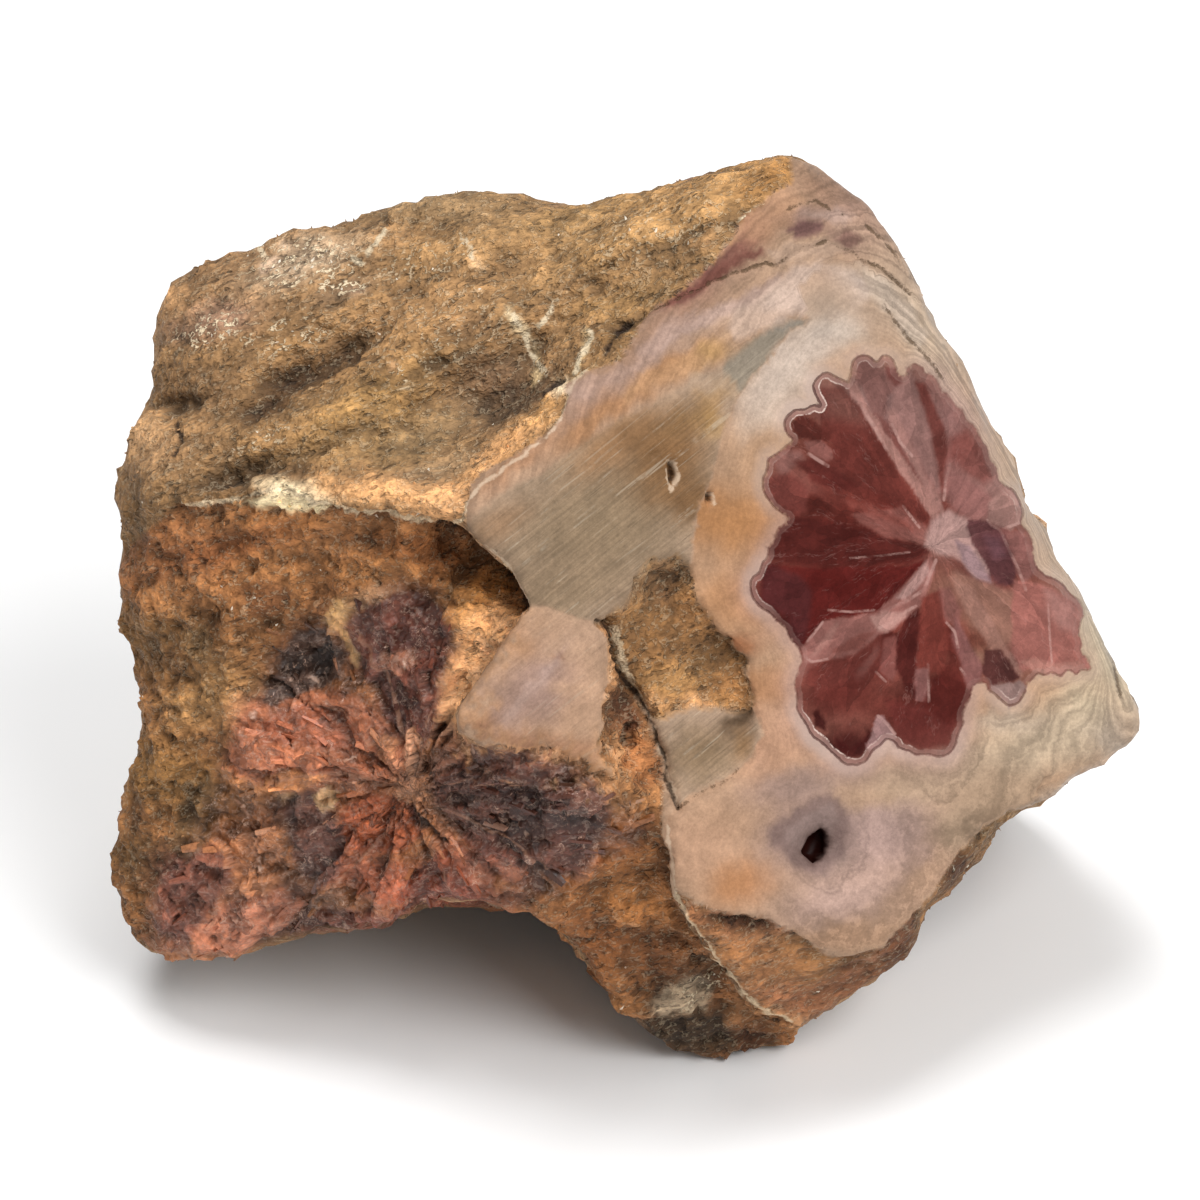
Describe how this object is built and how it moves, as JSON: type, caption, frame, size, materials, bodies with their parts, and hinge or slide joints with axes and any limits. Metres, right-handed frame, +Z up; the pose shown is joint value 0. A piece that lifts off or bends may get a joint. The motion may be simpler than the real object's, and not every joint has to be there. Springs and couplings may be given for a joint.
{
  "type": "rhodochrosite specimen",
  "caption": "Hand-sized chunk of vein rock with banded rhodochrosite stalactites sawn flat on one side, a radiating crystal break and a rough brown matrix",
  "frame": {"origin": "middle of the bounding box on the plane the stone rests on", "axes": "+Z up as the stone rests, +X along its longest extent, -Y towards the side it is displayed from"},
  "size_m": [0.1016, 0.075, 0.0832],
  "materials": {
    "vein_rock": "rough natural rock with one sawn, softly polished face"
  },
  "bodies": {
    "root": {"specimen": "vein_rock"}
  },
  "joints": []
}
